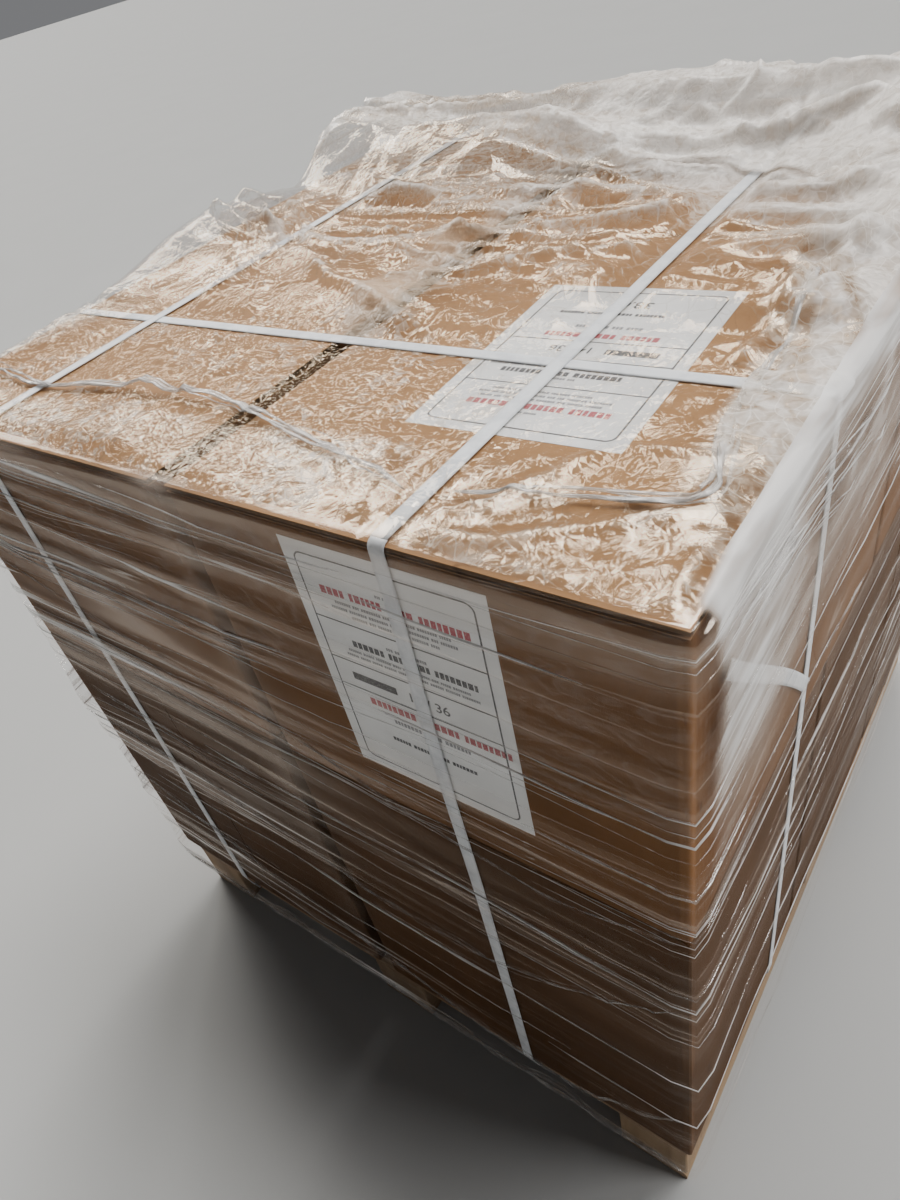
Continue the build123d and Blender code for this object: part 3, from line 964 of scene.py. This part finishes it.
def label_number(name, words, place, size, origin, *ways):
    """A plain number, set as flat text and laid on the label."""
    curve = bpy.data.curves.new(name, "FONT")
    curve.body = words
    curve.size = size
    curve.offset = size * 0.012
    curve.fill_mode = "FRONT"
    setter = bpy.data.objects.new(name + "_setter", curve)
    mesh = bpy.data.meshes.new_from_object(setter)
    bpy.data.objects.remove(setter)
    flat = np.zeros(len(mesh.vertices) * 3, np.float32)
    mesh.vertices.foreach_get("co", flat)
    points = laid(flat.reshape(-1, 3)[:, :2] + np.array(place, np.float32), origin, *ways)
    mesh.vertices.foreach_set("co", points.astype(np.float32).ravel())
    mesh.materials.clear()
    mesh.materials.append(black_ink)
    mesh.update()
    piece = bpy.data.objects.new(name, mesh)
    bpy.context.scene.collection.objects.link(piece)
    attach(piece, "root")


label_turn = np.radians(1.5)
top_right_way = -np.array([np.cos(label_turn), np.sin(label_turn), 0])
top_up_way = np.array([np.sin(label_turn), -np.cos(label_turn), 0])
top_centre = np.array([(label_low.x + label_high.x) / 2, (label_low.y + label_high.y) / 2, label_high.z])
top_origin = top_centre - top_right_way * label_wide / 2 - top_up_way * label_tall / 2
on_top = (top_origin, top_right_way, top_up_way, np.array([0, 0, 1.0]))
on_front = (np.array(front_label_low), np.array([1.0, 0, 0]), np.array([0, 0, 1.0]), np.array([0, -1.0, 0]))
for side, seed, lie in (("front", 191, on_front), ("top", 193, on_top)):
    label_print(f"{side}_label_print", seed, *lie)
    label_number(f"{side}_label_number", "14 / 36", (0.098, 0.1345), 0.0165, *lie)
label_number("top_label_weight", "38.6", (0.080, 0.034), 0.0200, *on_top)

# Cover film
cover = draped_skin(
    "cover_sheet", cover_step, cover_row, cover_radius, cover_rise,
    lambda s: cover_low + 0.010 * (1 + line_noise(s, 0.12, 141)),
    lambda s, z: cover_gap * (1 + creases(s, z, 0.05, 145) ** 2),
    [cover_top_film, cover_side_film], cover_frost, lambda s, z: 0 * s,
)
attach(cover, "root")
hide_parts("cover_film")

# Stretch film
wrap = draped_skin(
    "stretch_film", wrap_step, wrap_row, wrap_radius, wrap_rise,
    lambda s: wrap_low + 0.010 * (1 + line_noise(s, 0.20, 165)),
    wrap_standoff, [wrap_top_film, wrap_side_film], wrap_frost, wrap_side_frost, wrap_presence,
)
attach(wrap, "root")
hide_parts("stretch_wrap")


def smooth_path(places, count):
    """A path through the given places: Catmull-Rom cubics, read at count even steps."""
    places = np.asarray(places, float)
    padded = np.concatenate([2 * places[:1] - places[1:2], places, 2 * places[-1:] - places[-2:-1]])
    steps = np.linspace(0, len(places) - 1, count)
    i = np.minimum(steps.astype(int), len(places) - 2)
    t = (steps - i)[:, None]
    a, b, c, d = padded[i], padded[i + 1], padded[i + 2], padded[i + 3]
    bent = (2 * a - 5 * b + 4 * c - d) * t ** 2 + (3 * b - a - 3 * c + d) * t ** 3
    return 0.5 * (2 * b + (c - a) * t + bent)


def top_path(places):
    """A rope's path over the top, lying on what is highest there."""
    x, y = smooth_path(places, 160).T
    return np.column_stack([x, y, top + np.maximum(cover_rise(x, y), strap_rise(x, y)) + 0.0035])


def front_path(places):
    """A rope's path down the front, lying on the side film."""
    x, z = smooth_path(places, 160).T
    return np.column_stack([x, front - wrap_standoff(x - left, z) - 0.001, z])


def gathered_rope(name, path, radius, seed, material):
    """Film gathered into a rope of four strands, each a lobed ring of points, r = radius (0.4 +
    0.6 |sin 2.5 angle|), twisted along a path that wanders round the rope's own, uneven in
    thickness and drawn to a point at both ends."""
    sides = 12
    flatness = 0.45
    ahead = unit(np.gradient(path, axis=0))
    aside = unit(np.cross(ahead, [0.3, 0.2, 1.0]))
    upward = np.cross(aside, ahead)
    run = path_run(path)
    angles = np.linspace(0, 2 * np.pi, sides, endpoint=False)
    taper = np.sqrt(np.clip(np.minimum(run, run[-1] - run) / 0.05, 0.02, 1))
    strands = []
    for strand, share in enumerate((0.62, 0.48, 0.40, 0.30)):
        strand_seed = seed + 10 * strand
        wander = radius * (0.5 + strand) * line_noise(run, 0.09, strand_seed + 1) * taper
        lift = radius * 0.35 * line_noise(run, 0.05, strand_seed + 2) * taper
        centre = path + aside * wander[:, None] + upward * lift[:, None]
        uneven = 1 + 0.65 * line_noise(run, 0.028, strand_seed)
        lobes = 0.4 + 0.6 * np.abs(np.sin(2.5 * angles + 45 * run[:, None]))
        reach = (radius * share * taper * uneven)[:, None] * lobes
        ring = centre[:, None] + aside[:, None] * (reach * np.cos(angles))[:, :, None]
        ring = ring + upward[:, None] * (reach * np.sin(angles))[:, :, None] * flatness
        strands.append((ring.reshape(-1, 3), tube_faces(len(path), sides)))
    points, faces = joined(strands)
    uv_strand = np.column_stack([np.repeat(run, sides), np.tile(angles * radius, len(path))])
    uv_points = np.tile(uv_strand, (len(strands), 1))
    piece = mesh_piece(name, points, faces, [material], corner_uv=uv_points[faces.ravel()])
    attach(piece, "root")
    return piece


def drawn_threads(name, seed):
    """Thin threads of drawn film round the sides: each is a four-sided tube along the film's rim at
    height z0 + slant s, a half millimetre out from the film, thin at both ends. Each set has the
    stretch of the rim where its threads begin and their number. The last set is a bundle along the
    upper right edge, from the front corner to the cross strap."""
    draw = np.random.default_rng(seed)
    _, _, place, outward, around = rim(wrap_step, wrap_radius)
    count = len(place)
    angles = np.arange(4) * np.pi / 2
    threads, uv, frost = [], [], []
    for start, end, number, bundled in (
        (0.0, 1.0, 70, False), (1.0, 2.15, 34, False), (2.15, 3.15, 16, False), (3.15, 4.25, 8, False),
        (1.0, 1.1, 26, True),
    ):
        for _ in range(number):
            begin = start - 0.35 + (end - start + 0.2) * draw.random() ** 1.6
            length = draw.uniform(0.35, 1.30)
            z0 = layer_joint + 0.06 + draw.normal(0.06, 0.25)
            slant = draw.normal(-0.028, 0.022)
            if bundled:
                begin = draw.uniform(1.02, 1.06)
                length = draw.uniform(0.18, 0.42)
                z0 = top - draw.uniform(0.012, 0.060)
                slant = draw.uniform(-0.24, 0.02)
            thick = 0.00028 + 0.0011 * draw.random() ** 2.5
            bright = draw.uniform(0.45, 1.5)
            at = np.arange(int(begin / wrap_step), int((begin + length) / wrap_step))
            z = z0 + slant * (at * wrap_step - begin)
            z = z + 0.006 * line_noise(at * wrap_step, 0.20, seed + len(threads))
            keep = (z > wrap_low + 0.03) & (z < top - 0.012)
            at, z = at[keep], z[keep]
            if len(at) < 12:
                continue
            run = at * wrap_step
            spot = at % count
            out = outward[spot]
            centre = place[spot] + out * (wrap_radius - 0.0005 + wrap_standoff(around[spot], z))[:, None]
            steps_in = np.minimum(np.arange(len(at)), np.arange(len(at))[::-1])
            reach = thick * np.clip(steps_in / 8, 0.15, 1) * (1 + 0.4 * line_noise(run, 0.04, seed + 3))
            ring = np.empty((len(at), 4, 3))
            ring[:, :, :2] = centre[:, None] + out[:, None] * (reach[:, None] * np.cos(angles))[:, :, None]
            ring[:, :, 2] = z[:, None] + reach[:, None] * np.sin(angles)
            fade = bright * ease(line_noise(run, 0.16, seed + len(threads) + 500), -0.55, 0.35)
            threads.append((ring.reshape(-1, 3), tube_faces(len(at), 4)))
            uv.append(np.column_stack([np.repeat(run, 4), np.tile(angles * thick, len(at))]))
            frost.append(np.repeat(fade, 4))
    points, faces = joined(threads)
    corner_uv = np.concatenate(uv)[faces.ravel()]
    piece = mesh_piece(name, points, faces, [thread_film], None, corner_uv, {"frost": np.concatenate(frost)})
    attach(piece, "root")
    return piece


for name, lay, radius, seed, material, places in (
    ("front_lap_rope", top_path, 0.0050, 171, rope_film, (
        (-0.50, -0.45), (-0.34, -0.47), (-0.23, -0.45), (-0.04, -0.44), (0.11, -0.47), (0.25, -0.51))),
    ("right_lap_rope", top_path, 0.0045, 173, rope_film, (
        (0.29, -0.50), (0.36, -0.48), (0.45, -0.46), (0.475, -0.445), (0.46, -0.39), (0.445, -0.31),
        (0.45, -0.20), (0.43, -0.06))),
    ("upper_band_edge", front_path, 0.0016, 175, front_rope_film, (
        (-0.50, 0.88), (-0.25, 0.82), (0.05, 0.77), (0.35, 0.70), (0.50, 0.72))),
    ("middle_band_edge", front_path, 0.0018, 177, front_rope_film, (
        (-0.50, 0.56), (-0.20, 0.52), (0.10, 0.47), (0.33, 0.49), (0.50, 0.59))),
    ("lower_band_edge", front_path, 0.0020, 179, front_rope_film, (
        (-0.50, 0.40), (-0.14, 0.30), (0.27, 0.19), (0.42, 0.24), (0.505, 0.31))),
    ("hem_edge", front_path, 0.0034, 181, front_rope_film, (
        (-0.505, 0.13), (-0.30, 0.12), (-0.05, 0.13), (0.20, 0.12), (0.40, 0.13), (0.505, 0.12))),
):
    gathered_rope(name, lay(places), radius, seed, material)
drawn_threads("drawn_threads", 201)


# Pallet nails
def nail_heads():
    """Nail heads in the deck boards over each stringer board: eight-sided flat domes, two at each
    crossing, joined in one piece. The profile gives each ring's radius and height."""
    profile = ((0.0040, -0.0004), (0.0040, 0.0000), (0.0030, 0.0002))
    angles = np.arange(8) * np.pi / 4
    circle = np.column_stack([np.cos(angles), np.sin(angles), np.zeros(8)])
    heads = []
    for number in range(1, 8):
        board_low, board_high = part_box(f"deck_board_{number}")
        for row in ("front", "middle", "back"):
            stringer_low, stringer_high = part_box(f"stringer_board_{row}")
            for off in (-0.018, 0.018):
                x = (board_low.x + board_high.x) / 2 + off
                y = (stringer_low.y + stringer_high.y) / 2 - off * 0.6
                rings = [
                    np.array([x, y, deck_top + height]) + circle * [radius, radius, 0]
                    for radius, height in profile
                ]
                heads.append((np.concatenate(rings), tube_faces(len(profile), 8)[:, ::-1]))
    points, faces = joined(heads)
    piece = mesh_piece("pallet_nails", points, faces, [steel_grey], smooth=False)
    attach(piece, "root")


nail_heads()

# Floor, lights and camera
floor_corners = np.array([[-1, -1, 0], [1, -1, 0], [1, 1, 0], [-1, 1, 0]])
floor_half = 40.0
pale = Finish("pale_floor")
pale_mottle = pale.mix(pale.noise(pale.place(), 2.0), (0.44, 0.44, 0.43), (0.47, 0.47, 0.46))
pale_floor = pale.close(Base_Color=pale_mottle, Roughness=0.8)
floor = mesh_piece("floor", floor_corners * floor_half, np.array([[0, 1, 2, 3]]), [pale_floor])

world = bpy.data.worlds.new("studio")
world.use_nodes = True
sky = world.node_tree
background = sky.nodes["Background"]
background.inputs["Color"].default_value = (0.86, 0.87, 0.90, 1)
direction = sky.nodes.new("ShaderNodeTexCoord")
axes = sky.nodes.new("ShaderNodeSeparateXYZ")
band = sky.nodes.new("ShaderNodeMapRange")
for socket, number in (("From Min", 0.05), ("From Max", 0.22), ("To Min", 0.22), ("To Max", 0.085)):
    band.inputs[socket].default_value = number
sky.links.new(direction.outputs["Generated"], axes.inputs[0])
sky.links.new(axes.outputs["Z"], band.inputs["Value"])
sky.links.new(band.outputs[0], background.inputs["Strength"])
bpy.context.scene.world = world


def hang_lamp(name, kind, strength, shade):
    """A lamp of the given kind in the scene, and its holder, still to be turned."""
    lamp = bpy.data.lights.new(name, kind)
    lamp.energy = strength
    lamp.color = shade
    holder = bpy.data.objects.new(name, lamp)
    bpy.context.scene.collection.objects.link(holder)
    return lamp, holder


def softbox(name, place, aim, size, power, shade=(1, 1, 1)):
    """A rectangular lamp at place, turned to face aim."""
    lamp, holder = hang_lamp(name, "AREA", power, shade)
    lamp.shape = "RECTANGLE"
    lamp.size, lamp.size_y = size
    holder.location = place
    holder.rotation_euler = (Vector(aim) - Vector(place)).to_track_quat("-Z", "Y").to_euler()


def distant_lamp(name, bearing, height, strength, spread, shade=(1, 1, 1)):
    """A far round lamp seen at the given bearing from +X and height above the floor, in degrees."""
    lamp, holder = hang_lamp(name, "SUN", strength, shade)
    lamp.angle = np.radians(spread)
    b, h = np.radians(bearing), np.radians(height)
    towards = Vector((np.cos(b) * np.cos(h), np.sin(b) * np.cos(h), np.sin(h)))
    holder.rotation_euler = towards.to_track_quat("Z", "Y").to_euler()


distant_lamp("skylight_low", 157, 26, 0.95, 22, (1.0, 0.98, 0.94))
distant_lamp("skylight_left", 146, 40, 1.10, 22, (1.0, 0.98, 0.94))
distant_lamp("skylight_back", 106, 52, 1.45, 23, (1.0, 0.985, 0.96))
distant_lamp("skylight_high", 70, 66, 1.95, 25)
softbox("panel_left", (-2.7, 1.9, 2.5), (0, 0, 1.0), (0.40, 0.80), 22, (1.0, 0.985, 0.96))
softbox("panel_back", (-0.9, 2.5, 3.5), (0, 0, 1.0), (0.40, 0.80), 12, (1.0, 0.985, 0.96))
softbox("right_panel", (3.1, 0.8, 2.0), (0.5, 0.1, 0.8), (1.5, 1.3), 62)

camera_place = Vector((0.6543, -0.924, 1.4581))
camera_right = Vector((0.7934, 0.5723, -0.2072))
camera_down = Vector((0.2526, -0.6193, -0.7434))
camera_ahead = Vector((-0.5538, 0.5375, -0.6359))
lens = bpy.data.cameras.new("camera")
lens.sensor_width = 36.0
lens.lens = 25.4
lens.shift_x = 0.0284
lens.shift_y = 0.0026
lens.clip_start = 0.01
camera = bpy.data.objects.new("camera", lens)
turn = Matrix((camera_right, -camera_down, -camera_ahead)).transposed().to_4x4()
camera.matrix_world = Matrix.Translation(camera_place) @ turn
bpy.context.scene.collection.objects.link(camera)
bpy.context.scene.camera = camera

bpy.context.view_layer.update()
